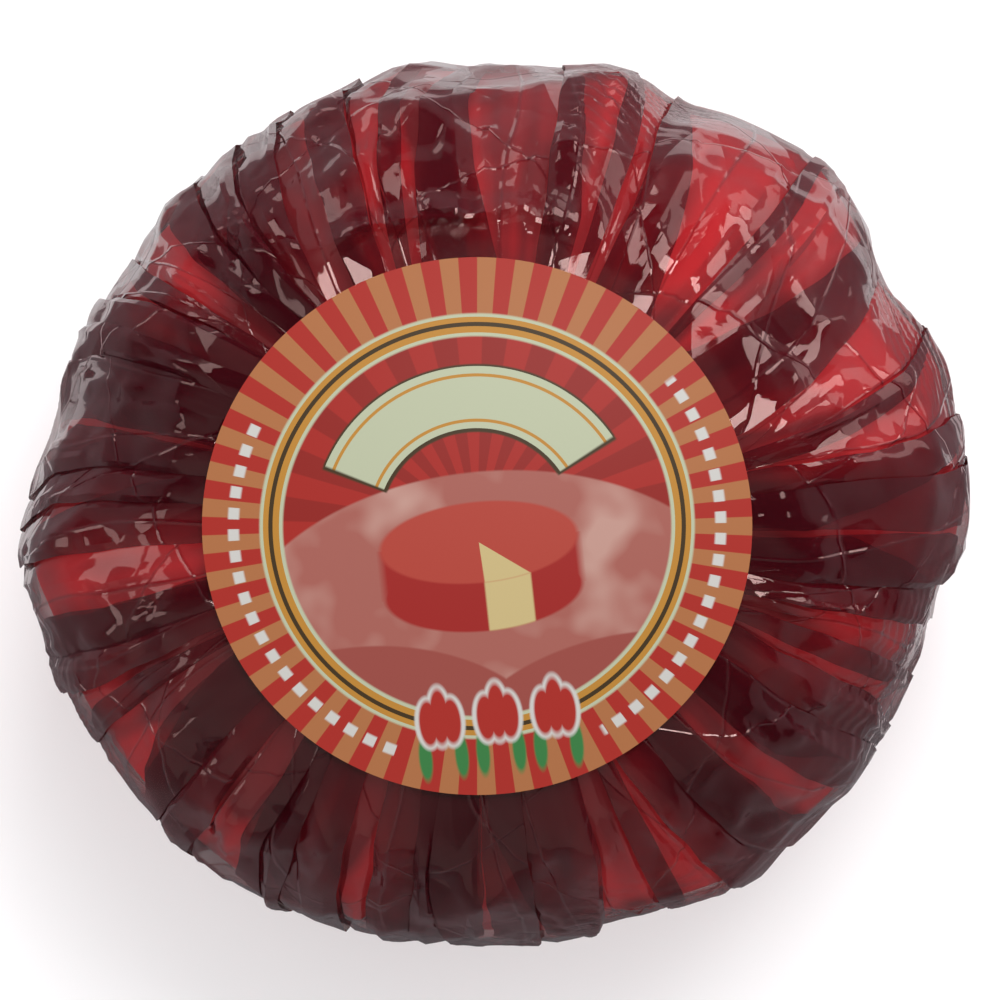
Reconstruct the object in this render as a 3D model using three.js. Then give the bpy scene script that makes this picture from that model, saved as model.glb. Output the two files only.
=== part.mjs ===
// A ball of cheese wrapped in red cellophane, lying on its flat base with a round paper label on top.
// The film is one square-cut sheet gathered up round the ball. What is too much of it is laid over in long folds
// that start low on the side, grow deeper upwards and run in under the label. Units are millimetres, +Z is up.
// The origin is on the ground under the middle of the ball, and the label's print reads with +Y at its top.
import * as THREE from "three";

// Cheese ball: a round body with a flattened top and base.
const BALL_HALF_WIDTH = 71.0; // along X
const BALL_HALF_DEPTH = 68.2; // along Y
const BALL_HALF_HEIGHT = 63.3;
const BALL_FULLNESS = 2.45; // 2 is an ellipse, more is boxier
const BALL_CENTRE_Z = 60.5; // lower than its half height, so that the base is cut flat

// Label: a thin round paper bent down over the ball, more along Y than along X, which shortens it that way.
const LABEL_HALF_WIDTH = 42.1;
const LABEL_HALF_DEPTH = 41.2;
const LABEL_THICKNESS = 0.4;
const LABEL_BEND_RADIUS_X = 200.0;
const LABEL_BEND_RADIUS_Y = 135.0;
const LABEL_TOP_Z = 125.0;
const LABEL_CENTRE_X = -4.6;
const LABEL_CENTRE_Y = -5.3;
const LABEL_GAP = 0.3; // air between the paper and the film under it

// Film: its angles run round the ball in degrees from +X, and its heights are angles up from the base's centre.
const FILM_CLEARANCE = 0.4; // air between the cheese and the lowest thickness of film
const FILM_PILE = 3.0; // the thickness that the gathered film has at the label's edge
const FOLD_HEIGHT = 1.35; // how far a fold's free edge stands above the film that it lies on
const FOLD_SPACING = 6.3; // one fold for each so many degrees of gathered film
const LABEL_RIM_HEIGHT = 142; // height angle of the label's edge
const EQUATOR_HEIGHT = 92;
const BASE_RIM_HEIGHT = 24; // where the flat base ends
const TIP_LOWEST = 46; // the folds' tips lie between these two height angles
const TIP_HIGHEST = 70;
const TOP_TIP_HEIGHT = 171; // under the label the folds end here
const DEEPEST_TUCK_MM = 2.2; // how far the solid follows a fold in under its edge
const HIGHEST_LIFT = 2.2; // the most that a fold and its puff rise above the lowest film near the label
const PRESSED_SHARE = 0.35; // the label presses the folds under it down to this share of their height

// Windows, where a single thickness of film lies on the cheese: middle, width, lean from rim to label.
const WINDOWS = [
  [20, 17, -4],
  [47, 11, -2],
  [70, 8, -3],
  [103, 14, 3],
  [118, 5, 2],
  [145, 13, -6],
  [190, 8, -3],
  [210, 14, -5],
  [252, 5, -3],
  [294, 21, 1],
  [318, 5, 1],
  [339, 13, 3],
];

// Where the film stands off the ball, or lies tighter on it: middle, height in mm, half width in degrees.
const SLACK = [
  [357, 3.4, 9],
  [18, 1.3, 5],
  [30, -1.9, 4],
  [47, 3.8, 10],
  [66, -2.4, 3.5],
  [73, 2.3, 6],
  [102, 1.3, 4],
  [140, -1.3, 24],
  [168, -1.3, 5],
  [186, 3.0, 5],
  [210, 2.4, 9],
  [229, -1.0, 3.5],
  [233, 2.9, 9],
  [253, 1.0, 6],
  [303, 1.5, 9],
  [324, 0.7, 4],
  [339, -1.8, 10],
  [348, -2.0, 4],
];
const SLACK_PEAK_HEIGHT = 99;
const SLACK_REACH_UP = 24;
const SLACK_REACH_DOWN = 20;

// Fineness of the solid.
const WINDOW_STEP = 4.6; // degrees of open film for each column of faces
const ROWS_BELOW = 6;
const ROWS_BESIDE = 27;
const ROWS_UNDER_LABEL = 3;
const LABEL_SIDES = 72;
const LABEL_RINGS = 5;

const DEGREE = Math.PI / 180;
const clamp = (value, low, high) => Math.min(high, Math.max(low, value));
const mix = (a, b, share) => a + (b - a) * share;
const smooth = (low, high, value) => {
  const share = clamp((value - low) / (high - low), 0, 1);
  return share * share * (3 - 2 * share);
};
const bell = (offset, width) => Math.exp(-0.5 * (offset / width) ** 2);
const turned = (angle) => ((((angle + 180) % 360) + 360) % 360) - 180;

// A repeatable spread of values from 0 to 1 for the folds' natural unevenness.
const vary = (index, kind) => {
  const wave = Math.sin(index * 12.9898 + kind * 78.233) * 43758.5453;
  return wave - Math.floor(wave);
};

// How far the cheese's skin is from the ball's centre, in a direction given by its height angle and its turn.
function ballRadius(height, turn) {
  const across = Math.sin(height * DEGREE);
  const up = Math.cos(height * DEGREE);
  const halfWidth = 1 / Math.hypot(
    Math.cos(turn * DEGREE) / BALL_HALF_WIDTH,
    Math.sin(turn * DEGREE) / BALL_HALF_DEPTH,
  );
  const n = BALL_FULLNESS;
  return (Math.abs(across / halfWidth) ** n + Math.abs(up / BALL_HALF_HEIGHT) ** n) ** (-1 / n);
}

function slackAt(height, turn) {
  const reach = height > SLACK_PEAK_HEIGHT ? SLACK_REACH_UP : SLACK_REACH_DOWN;
  const spread = bell(height - SLACK_PEAK_HEIGHT, reach);
  return SLACK.reduce((sum, [at, lift, width]) => sum + lift * spread * bell(turned(turn - at), width), 0);
}

// The bands of gathered film between the windows. Each holds a few folds, all laid to one side or parted.
function makeFolds() {
  const folds = [];
  WINDOWS.forEach((window, band) => {
    const next = WINDOWS[(band + 1) % WINDOWS.length];
    const width = ((next[0] - window[0] + 360) % 360) - window[1] / 2 - next[1] / 2;
    const count = Math.max(1, Math.round(width / FOLD_SPACING));
    const parted = count > 3;
    const lay = vary(band, 1) < 0.5 ? -1 : 1;
    for (let place = 0; place < count; place += 1) {
      const firstHalf = place < count / 2;
      folds.push({
        window,
        next,
        place,
        count,
        parted,
        side: parted ? (firstHalf ? -1 : 1) : lay,
        tip: mix(TIP_LOWEST, TIP_HIGHEST, vary(folds.length, 2)),
        shift: mix(-0.28, 0.28, vary(folds.length, 3)),
        swing: mix(-1.1, 1.1, vary(folds.length, 4)),
        rise: mix(0.8, 1.25, vary(folds.length, 5)),
        puff: mix(0.3, 1.7, vary(folds.length, 6)),
        puffHeight: mix(92, 122, vary(folds.length, 7)),
      });
    }
  });
  return folds;
}

const folds = makeFolds();

// A window's two edges at a height: it narrows towards the label and leans to one side.
function windowEdges([middle, width, lean], height) {
  const up = (height - EQUATOR_HEIGHT) / (LABEL_RIM_HEIGHT - EQUATOR_HEIGHT);
  const half = (width / 2) * clamp(mix(1.15, 0.7, up), 0.4, 1.25);
  const centre = middle + lean * clamp(up - 0.5, -1, 0.8);
  return [centre - half, centre + half];
}

// The angle through which the spare film of one fold reaches, from how much wider the sheet is than the ball.
function foldDepth(height) {
  const h = height * DEGREE;
  const spare = (h / Math.sin(Math.min(h, 2.75)) - 1) / 2;
  return (spare * 360) / folds.length;
}

// A fold's free edge and its inner crease, as turns round the ball.
function foldLines(fold, height) {
  const start = windowEdges(fold.window, height)[1];
  const end = start + ((windowEdges(fold.next, height)[0] - start + 720) % 360);
  const middle = mix(start, end, 0.5);
  const from = fold.parted && fold.side > 0 ? middle : start;
  const to = fold.parted && fold.side < 0 ? middle : end;
  const before = fold.parted && fold.side > 0 ? Math.ceil(fold.count / 2) : 0;
  const here = fold.parted ? (fold.side > 0 ? Math.floor(fold.count / 2) : Math.ceil(fold.count / 2)) : fold.count;
  const place = fold.place - before;
  const pitch = (to - from) / here;
  const inner = fold.side > 0 ? place < here - 1 : place > 0;
  const stray = inner ? fold.shift * pitch + fold.swing * smooth(80, 140, height) * pitch * 0.2 : 0;
  const edge = fold.side > 0 ? from + pitch * (place + 1) + stray : from + pitch * place + stray;
  const room = fold.side > 0 ? edge - from : to - edge;
  const open = smooth(fold.tip - 1, fold.tip + 30, height) * smooth(TOP_TIP_HEIGHT, 152, height);
  const wanted = foldDepth(height) * open;
  const radiusHere = Math.max(8, BALL_HALF_DEPTH * Math.sin(height * DEGREE));
  const most = DEEPEST_TUCK_MM / radiusHere / DEGREE;
  const depth = Math.min((wanted * room) / (wanted + room + 0.01), most * open + 0.02);
  const shut = height <= fold.tip || height >= TOP_TIP_HEIGHT;
  return { edge, crease: edge - fold.side * depth, depth, open, shut };
}

// How many columns of faces each stretch of open film between two free edges gets.
function stretchColumns() {
  return folds.map((fold, i) => {
    const here = foldLines(fold, EQUATOR_HEIGHT).edge;
    const there = foldLines(folds[(i + 1) % folds.length], EQUATOR_HEIGHT).edge;
    return Math.max(1, Math.round(((there - here + 720) % 360) / WINDOW_STEP));
  });
}

const columnsBetween = stretchColumns();

// One ring of the film's surface at a height: for each column its turn and its lift above the lowest film.
// Columns of a fold that is shut at this height share one vertex, so a fold tapers to a clean tip.
function filmRing(height) {
  const lines = folds.map((fold) => foldLines(fold, height));
  const ring = [];
  folds.forEach((fold, i) => {
    const line = lines[i];
    const after = (i + 1) % folds.length;
    const nextFold = folds[after];
    const nextLine = lines[after];
    const liftOf = (f, l) => FOLD_HEIGHT * f.rise * l.open;
    const edgeLift = liftOf(fold, line);
    const nextLift = liftOf(nextFold, nextLine);
    const wrap = nextLine.edge < line.edge ? 360 : 0;
    const nextEdge = nextLine.edge + wrap;
    const nextCrease = nextLine.crease + wrap;
    const key = `fold${i}`;
    const width = nextEdge - line.edge;
    const steep = (l) => clamp((0.8 * width) / Math.max(l.depth, 0.3), 1, 3);
    const startLift = fold.side < 0 ? edgeLift : 0;
    const endLift = nextFold.side > 0 ? nextLift : 0;
    const from = fold.side > 0 ? line.crease : line.edge;
    const to = nextFold.side > 0 ? nextEdge : nextCrease;
    const liftAt = (turn) => {
      const share = clamp((turn - from) / (to - from), 0, 1);
      return startLift * (1 - share) ** steep(line) + endLift * share ** steep(nextLine);
    };

    // The hidden return of the fold, from its free edge to its crease or the other way round.
    if (fold.side > 0) {
      ring.push({ turn: line.edge, lift: edgeLift, shared: line.shut ? key : null });
      ring.push({ turn: line.crease, lift: 0, shared: line.shut ? key : null });
      ring.push({ turn: line.edge, lift: liftAt(line.edge), shared: line.shut ? key : null });
    } else {
      ring.push({ turn: line.crease, lift: 0, shared: line.shut ? key : null });
      ring.push({ turn: line.edge, lift: edgeLift, shared: line.shut ? key : null });
    }

    // The open film as far as the next free edge, puffed out between the two.
    const count = columnsBetween[i];
    const puffShape = bell(height - fold.puffHeight, 17) * clamp(width / 9, 0.35, 1);
    for (let step = 1; step < count; step += 1) {
      const share = step / count;
      const turn = mix(line.edge, nextEdge, share);
      const puff = fold.puff * puffShape * Math.sin(Math.PI * share);
      ring.push({ turn, lift: liftAt(turn) + puff, shared: null });
    }
    if (nextFold.side < 0) {
      const shared = nextLine.shut ? `fold${after}` : null;
      ring.push({ turn: nextEdge, lift: liftAt(nextEdge), shared });
    }
  });
  return ring;
}

// The label's top surface over a point, and the height to which the film under it may reach.
function labelTop(x, y) {
  const dropX = (x - LABEL_CENTRE_X) ** 2 / (2 * LABEL_BEND_RADIUS_X);
  const dropY = (y - LABEL_CENTRE_Y) ** 2 / (2 * LABEL_BEND_RADIUS_Y);
  return LABEL_TOP_Z - dropX - dropY;
}

function labelSeat(x, y) {
  return labelTop(x, y) - LABEL_THICKNESS - LABEL_GAP;
}

// The place in space of a point of the film, from its height angle, its turn and its lift.
function filmPoint(height, turn, lift) {
  const pile = FILM_PILE * smooth(EQUATOR_HEIGHT, LABEL_RIM_HEIGHT, height);
  const off = smooth(20, 60, height) * (FILM_CLEARANCE + slackAt(height, turn)) + pile + lift;
  const reach = ballRadius(height, turn) + off;
  const lean = smooth(70, LABEL_RIM_HEIGHT, height);
  const outward = reach * Math.sin(height * DEGREE);
  const x = outward * Math.cos(turn * DEGREE) + LABEL_CENTRE_X * lean;
  const y = outward * Math.sin(turn * DEGREE) + LABEL_CENTRE_Y * lean;
  const free = BALL_CENTRE_Z - reach * Math.cos(height * DEGREE);
  const pressed = labelSeat(x, y) - PRESSED_SHARE * (HIGHEST_LIFT - lift);
  const held = mix(free, pressed, smooth(LABEL_RIM_HEIGHT - 14, LABEL_RIM_HEIGHT - 1, height));
  return new THREE.Vector3(x, y, Math.max(0, held));
}

function rowHeights() {
  const heights = [];
  for (let row = 0; row < ROWS_BELOW; row += 1) {
    heights.push(mix(BASE_RIM_HEIGHT, TIP_LOWEST, row / ROWS_BELOW));
  }
  for (let row = 0; row <= ROWS_BESIDE; row += 1) {
    heights.push(mix(TIP_LOWEST, LABEL_RIM_HEIGHT, row / ROWS_BESIDE));
  }
  for (let row = 1; row <= ROWS_UNDER_LABEL; row += 1) {
    heights.push(mix(LABEL_RIM_HEIGHT, TOP_TIP_HEIGHT, row / ROWS_UNDER_LABEL));
  }
  return heights;
}

function wrappedBall() {
  const positions = [];
  const faces = [];
  const addVertex = (point) => positions.push(point.x, point.y, point.z) / 3 - 1;
  const addFace = (a, b, c) => {
    if (a !== b && b !== c && c !== a) faces.push(a, b, c);
  };
  const rows = rowHeights().map((height) => {
    const known = new Map();
    return filmRing(height).map(({ turn, lift, shared }) => {
      if (shared && known.has(shared)) return known.get(shared);
      const index = addVertex(filmPoint(height, turn, lift));
      if (shared) known.set(shared, index);
      return index;
    });
  });
  const columns = rows[0].length;
  for (let row = 0; row + 1 < rows.length; row += 1) {
    for (let column = 0; column < columns; column += 1) {
      const beside = (column + 1) % columns;
      const [a, b] = [rows[row][column], rows[row][beside]];
      const [c, d] = [rows[row + 1][column], rows[row + 1][beside]];
      addFace(a, b, d);
      addFace(a, d, c);
    }
  }
  const base = addVertex(new THREE.Vector3(0, 0, 0));
  const crown = addVertex(filmPoint(180, 0, 0));
  for (let column = 0; column < columns; column += 1) {
    const beside = (column + 1) % columns;
    addFace(base, rows[0][beside], rows[0][column]);
    addFace(crown, rows.at(-1)[column], rows.at(-1)[beside]);
  }
  const geometry = new THREE.BufferGeometry();
  geometry.setAttribute("position", new THREE.Float32BufferAttribute(positions, 3));
  geometry.setIndex(faces);
  geometry.computeVertexNormals();
  const red = new THREE.MeshStandardMaterial({ color: "#7c1420", roughness: 0.12, metalness: 0 });
  const mesh = new THREE.Mesh(geometry, red);
  mesh.name = "wrapped_ball";
  return mesh;
}

// The label as a closed disc: rings of points on its top and its underside, joined round the rim.
function paperLabel() {
  const positions = [];
  const faces = [];
  const addVertex = (share, turn, top) => {
    const x = LABEL_CENTRE_X + LABEL_HALF_WIDTH * share * Math.cos(turn);
    const y = LABEL_CENTRE_Y + LABEL_HALF_DEPTH * share * Math.sin(turn);
    positions.push(x, y, labelTop(x, y) - (top ? 0 : LABEL_THICKNESS));
    return positions.length / 3 - 1;
  };
  const addRings = (top) => {
    const centre = addVertex(0, 0, top);
    const rings = [];
    for (let ring = 1; ring <= LABEL_RINGS; ring += 1) {
      const points = [];
      for (let step = 0; step < LABEL_SIDES; step += 1) {
        points.push(addVertex(ring / LABEL_RINGS, (2 * Math.PI * step) / LABEL_SIDES, top));
      }
      rings.push(points);
    }
    return { centre, rings };
  };
  const addFace = (a, b, c, top) => (top ? faces.push(a, b, c) : faces.push(a, c, b));
  const addSheet = ({ centre, rings }, top) => {
    for (let step = 0; step < LABEL_SIDES; step += 1) {
      const beside = (step + 1) % LABEL_SIDES;
      addFace(centre, rings[0][step], rings[0][beside], top);
      for (let ring = 0; ring + 1 < LABEL_RINGS; ring += 1) {
        addFace(rings[ring][step], rings[ring + 1][step], rings[ring + 1][beside], top);
        addFace(rings[ring][step], rings[ring + 1][beside], rings[ring][beside], top);
      }
    }
  };
  const topSheet = addRings(true);
  const underSheet = addRings(false);
  addSheet(topSheet, true);
  addSheet(underSheet, false);
  const [topRim, underRim] = [topSheet.rings.at(-1), underSheet.rings.at(-1)];
  for (let step = 0; step < LABEL_SIDES; step += 1) {
    const beside = (step + 1) % LABEL_SIDES;
    faces.push(underRim[step], underRim[beside], topRim[beside]);
    faces.push(underRim[step], topRim[beside], topRim[step]);
  }
  const geometry = new THREE.BufferGeometry();
  geometry.setAttribute("position", new THREE.Float32BufferAttribute(positions, 3));
  geometry.setIndex(faces);
  geometry.computeVertexNormals();
  const paper = new THREE.MeshStandardMaterial({ color: "#cf7a4c", roughness: 0.45, metalness: 0 });
  const mesh = new THREE.Mesh(geometry, paper);
  mesh.name = "label";
  return mesh;
}

// Both pieces in one group, moved so that the origin is on the ground under the middle of their box.
function wrappedCheese() {
  const group = new THREE.Group();
  group.add(wrappedBall(), paperLabel());
  const box = new THREE.Box3().setFromObject(group);
  const middle = box.getCenter(new THREE.Vector3());
  group.children.forEach((mesh) => mesh.geometry.translate(-middle.x, -middle.y, -box.min.z));
  return group;
}

export default wrappedCheese();
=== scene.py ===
# %% [markdown]
# # A ball of cheese in red film
# The ball is wrapped in one sheet of red cellophane. The sheet is laid under the ball and gathered up round
# it, so what is too much of it lies over in long folds. A round paper label holds the folds down on top.
# The scene has four pieces: the film, the cheese inside it, the label, and the floor. The CAD part gives
# the size and the place of each, and this script makes the looks.

import math

import bpy
import numpy as np
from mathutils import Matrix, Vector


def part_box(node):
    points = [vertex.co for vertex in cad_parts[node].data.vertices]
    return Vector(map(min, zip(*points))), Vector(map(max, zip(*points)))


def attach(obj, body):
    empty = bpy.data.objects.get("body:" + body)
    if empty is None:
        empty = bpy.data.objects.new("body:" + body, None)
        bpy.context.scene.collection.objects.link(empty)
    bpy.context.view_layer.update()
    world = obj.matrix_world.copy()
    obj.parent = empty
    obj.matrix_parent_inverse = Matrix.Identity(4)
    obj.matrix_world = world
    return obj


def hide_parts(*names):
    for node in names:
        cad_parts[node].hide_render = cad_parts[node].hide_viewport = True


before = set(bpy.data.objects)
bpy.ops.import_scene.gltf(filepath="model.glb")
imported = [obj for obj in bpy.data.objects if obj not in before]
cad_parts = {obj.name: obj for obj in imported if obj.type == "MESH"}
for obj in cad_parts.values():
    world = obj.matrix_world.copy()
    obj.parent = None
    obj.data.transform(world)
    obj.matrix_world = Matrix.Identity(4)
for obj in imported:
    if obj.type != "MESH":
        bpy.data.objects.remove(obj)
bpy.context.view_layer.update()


# %% [markdown]
# The film follows the same shape rules as the CAD part, with the same ball and label in millimetres, so the
# two outlines agree. The windows have widths of their own here, and the script adds what is finer: deeper
# folds, facets, creases and wrinkles. The shape is worked out in two angles. The height angle climbs from 0
# at the middle of the base to 180 at the top, and the turn goes round the ball from +X.

# %% Named sizes
BALL_HALF_WIDTH = 71.0
BALL_HALF_DEPTH = 68.2
BALL_HALF_HEIGHT = 63.3
BALL_FULLNESS = 2.45
BALL_CENTRE_Z = 60.5
FILM_CLEARANCE = 0.4
FILM_PILE = 2.2

LABEL_HALF_WIDTH = 42.1
LABEL_HALF_DEPTH = 41.2
LABEL_THICKNESS = 0.25
LABEL_BEND_RADIUS_X = 200.0
LABEL_BEND_RADIUS_Y = 135.0
LABEL_TOP_Z = 125.0
LABEL_CENTRE_X = -4.6
LABEL_CENTRE_Y = -5.3

ROW_MM = 1.25  # a degree of height angle on the ball's side
FOLD_HEIGHT = 0.8
FOLD_SPACING = 5.4
LABEL_RIM_HEIGHT = 142
EQUATOR_HEIGHT = 92
TIP_LOWEST = 46
TIP_HIGHEST = 70
TOP_TIP_HEIGHT = 171

# Single thicknesses of film between the bands of folds: the middle, the width at the rim and at the label,
# and the lean, all in degrees.
WINDOWS = [
    (20, 23, 10, -6), (47, 13, 5, -3), (70, 9, 6, -4), (103, 15, 8, 4), (118, 4, 5, 3),
    (145, 14, 7, -8), (190, 7, 7, -4), (210, 16, 6, -7), (232, 7, 5, -5), (252, 5, 4, -4),
    (294, 22, 10, 3), (318, 4, 5, 2), (339, 14, 7, 5),
]

# Where the film stands off the ball, or lies tighter on it: the middle, the height in mm and the half width.
SLACK = [
    (357, 3.4, 9), (18, 1.3, 5), (30, -1.9, 4), (47, 3.8, 10), (66, -2.4, 3.5), (73, 2.3, 6),
    (102, 1.3, 4), (140, -1.3, 24), (168, -1.3, 5), (186, 3.0, 5), (210, 2.4, 9), (229, -1.0, 3.5),
    (233, 2.9, 9), (253, 1.0, 6), (303, 1.5, 9), (324, 0.7, 4), (339, -1.8, 10), (348, -2.0, 4),
]
SLACK_PEAK_HEIGHT = 99
SLACK_REACH_UP = 24
SLACK_REACH_DOWN = 20

# How far the cheese lies under the lowest film in mm, and how much of the film's facets it follows.
CHEESE_DEPTH = 0.4
CHEESE_FACETS = 0.8

# The CAD part is moved so that its box stands over the origin. The label shows by how much.
label_low, label_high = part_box("label")
SHIFT_X = 500 * (label_low.x + label_high.x) - LABEL_CENTRE_X
SHIFT_Y = 500 * (label_low.y + label_high.y) - LABEL_CENTRE_Y
print("the ball's own middle is at", round(SHIFT_X, 2), round(SHIFT_Y, 2), "mm")


# %% [markdown]
# Small helpers: a smooth step, a bell curve, and two ways to spread values unevenly. The first gives the
# same spread as the CAD part's folds, and the seeded generator gives each crease its own place.

# %% Helpers
def smooth(low, high, value):
    share = np.clip((value - low) / (high - low), 0, 1)
    return share * share * (3 - 2 * share)


def bell(offset, width):
    return np.exp(-0.5 * (offset / width) ** 2)


def mix(a, b, share):
    return a + (b - a) * share


def vary(index, kind):
    wave = math.sin(index * 12.9898 + kind * 78.233) * 43758.5453
    return wave - math.floor(wave)


def turned(angle):
    return (angle + 180) % 360 - 180


def ball_radius(height, turn):
    across = np.sin(np.radians(height))
    up = np.abs(np.cos(np.radians(height)))
    t = np.radians(turn)
    half_width = 1 / np.hypot(np.cos(t) / BALL_HALF_WIDTH, np.sin(t) / BALL_HALF_DEPTH)
    n = BALL_FULLNESS
    return ((across / half_width) ** n + (up / BALL_HALF_HEIGHT) ** n) ** (-1 / n)


def slack_at(height, turn):
    reach = np.where(height > SLACK_PEAK_HEIGHT, SLACK_REACH_UP, SLACK_REACH_DOWN)
    spread = bell(height - SLACK_PEAK_HEIGHT, reach)
    return sum(lift * spread * bell(turned(turn - at), width) for at, lift, width in SLACK)


def label_top(x, y):
    drop_x = (x - LABEL_CENTRE_X) ** 2 / (2 * LABEL_BEND_RADIUS_X)
    drop_y = (y - LABEL_CENTRE_Y) ** 2 / (2 * LABEL_BEND_RADIUS_Y)
    return LABEL_TOP_Z - drop_x - drop_y


random = np.random.default_rng(7)  # the same creases at every run


# %% [markdown]
# The folds. Between two windows the spare film is laid over in a few folds. A fold has a free edge and,
# under it, an inner crease: the film runs to the edge, turns back to the crease, and turns forward again.
# Side 1 means that the film goes round counter-clockwise on its way to the edge, and -1 the other way.

# %% Fold rules
# Between these two turns the folds are fewer and less deep.
COARSE_FROM = 5
COARSE_TO = 85
COARSE_SPACING = 1.7
COARSE_DEPTH = 0.62

EVEN_FOLDS = 34  # as many even folds would take up the spare film
TUCK_WINDOW = 8  # a window at least this many degrees wide has a small tuck in it


def new_fold(index, side, **more):
    return {
        "side": side,
        "tip": mix(TIP_LOWEST, TIP_HIGHEST, vary(index, 2)),
        "swing": mix(-0.3, 0.3, vary(index, 4)),
        "rise": mix(0.8, 1.25, vary(index, 5)),
        "puff": mix(0.0, 0.3, vary(index, 6)),
        "puff_height": mix(92, 122, vary(index, 7)),
        "deep": mix(0.7, 2.0, vary(index, 9)),
        **more,
    }


def uneven_places(count):
    """Count places between 0 and 1, in order and unevenly spaced."""
    gaps = random.uniform(0.45, 1.7, count)
    return np.cumsum(gaps) / gaps.sum()


def fold_group(folds, side, count, window, following, from_share, to_share):
    """Folds that all lie to one side, over part of the band between two windows."""
    low_places, high_places = uneven_places(count), uneven_places(count)
    if side < 0:
        low_places, high_places = 1 - low_places[::-1], 1 - high_places[::-1]
    band = {"window": window, "following": following, "group": (from_share, to_share)}
    for low, high in zip(low_places, high_places):
        folds.append(new_fold(len(folds), side, tuck=False, low=low, high=high, **band))


def make_folds():
    """The folds of each band between two windows, and then the small tuck in the window after it."""
    folds = []
    for band, window in enumerate(WINDOWS):
        following = WINDOWS[(band + 1) % len(WINDOWS)]
        width = (following[0] - window[0]) % 360 - window[1] / 2 - following[1] / 2
        coarse = COARSE_FROM < window[0] < COARSE_TO
        count = max(1, math.floor(width / (FOLD_SPACING * (COARSE_SPACING if coarse else 1)) + 0.5))
        if count > 3:
            first = math.ceil(count / 2)
            fold_group(folds, -1, first, window, following, 0, 0.5)
            fold_group(folds, 1, count - first, window, following, 0.5, 1)
        else:
            fold_group(folds, -1 if vary(band, 1) < 0.5 else 1, count, window, following, 0, 1)
        for fold in folds[-count:]:
            fold["deep"] *= COARSE_DEPTH if coarse else 1
        if following[1] >= TUCK_WINDOW:
            side = 1 if vary(len(folds), 8) > 0.5 else -1
            folds.append(new_fold(len(folds), side, tuck=True, window=following))
    return folds


def window_edges(window, height):
    """The two turns between which a window lies at a height."""
    middle, rim_width, label_width, lean = window
    up = np.clip((height - EQUATOR_HEIGHT) / (LABEL_RIM_HEIGHT - EQUATOR_HEIGHT), -0.6, 1.2)
    half = np.maximum(mix(rim_width, label_width, up) / 2, 1.2)
    centre = middle + lean * (up - 0.3)
    return centre - half, centre + half


def fold_depth(height):
    """How far a fold reaches in, in degrees: the sheet has more to spare the higher it climbs."""
    h = np.radians(np.maximum(height, 1))
    spare = (h / np.sin(np.minimum(h, 2.75)) - 1) / 2
    return spare * 360 / EVEN_FOLDS


def tuck_lines(fold, height, opened):
    """A tuck lies inside a window and reaches only a few degrees under its edge."""
    left, right = window_edges(fold["window"], height)
    edge = mix(left, right, 0.5 + fold["swing"] * (smooth(70, 140, height) - 0.4))
    room = (right - left) * 0.45
    depth = opened * np.minimum(1.2 + 2.2 * fold["rise"] * smooth(80, 130, height), room)
    return edge, depth, opened * 0.6


def fold_lines(fold, height):
    """A fold's edge, how far its crease lies from it, both in degrees, and how far it has opened."""
    opened = smooth(fold["tip"] - 1, fold["tip"] + 30, height) * smooth(TOP_TIP_HEIGHT, 152, height)
    if fold["tuck"]:
        return tuck_lines(fold, height, opened)
    start = window_edges(fold["window"], height)[1]
    end = start + (window_edges(fold["following"], height)[0] - start) % 360
    begin, finish = (mix(start, end, share) for share in fold["group"])
    edge = mix(begin, finish, mix(fold["low"], fold["high"], smooth(80, 140, height)))
    room = edge - begin if fold["side"] > 0 else finish - edge
    depth = opened * np.minimum(fold["deep"] * fold_depth(height), 0.95 * room)
    return edge, depth, opened


folds = make_folds()
print(len(folds), "folds")


# %% [markdown]
# A fold's edge isn't a smooth line: stiff film kinks. Each edge gets its own zigzag, which is small against
# the distance to the next edge.

# %% Kinked fold edges
KINK_MM = 0.6


def zigzag(value):
    return 2 * np.abs(value % 2 - 1) - 1


def kink(index, height):
    long_wave = zigzag(height / mix(18, 34, vary(index, 11)) + 9 * vary(index, 12))
    short_wave = zigzag(height / mix(5, 10, vary(index, 13)) + 9 * vary(index, 14))
    across = 70 * np.maximum(np.sin(np.radians(height)), 0.3)
    return np.degrees(KINK_MM * (long_wave + 0.25 * short_wave) / across) * smooth(60, 84, height)


# %% [markdown]
# The rows of the film's mesh lie at chosen height angles: few on the flat base and under the label, and
# close together on the side, where the folds and creases show. The columns follow the folds, so that each
# free edge and each inner crease is a column of its own.

# %% Rows and columns
ROW_BANDS = [(24, 5), (50, 8), (84, 28), (145, 84), (180, 8)]  # up to which height angle, and how many rows
OPEN_STEP = 0.86  # degrees from one column to the next
FOLD_COLUMNS = 2

row_heights = np.zeros(1)
for up_to, count in ROW_BANDS:
    row_heights = np.append(row_heights, np.linspace(row_heights[-1], up_to, count + 1)[1:])


def stretch_columns():
    """How many columns lie between each fold and the next one."""
    counts = []
    for i, fold in enumerate(folds):
        here = fold_lines(fold, np.array([110.0]))[0][0]
        there = fold_lines(folds[(i + 1) % len(folds)], np.array([110.0]))[0][0]
        counts.append(max(5, round(((there - here) % 360) / OPEN_STEP)))
    return counts


open_columns = stretch_columns()
column_count = sum(open_columns) + 2 * FOLD_COLUMNS * len(folds)
print(column_count, "columns and", len(row_heights) - 1, "rows of faces")


# %% [markdown]
# Facets. Stiff film can't follow a round form, so it pulls tight into flat facets with straight edges, and
# each facet mirrors one part of the room. Here each facet is a plane that touches the ball at a random
# place and is tilted a little, and the lowest plane at each vertex is the surface, as on a cut gem.

# %% Facets
FACET_RADIUS = 68.0
FACET_SINK = 0.5
FACET_TILT = 7.0
FACETS_LEFT_OUT = 0.3

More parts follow.
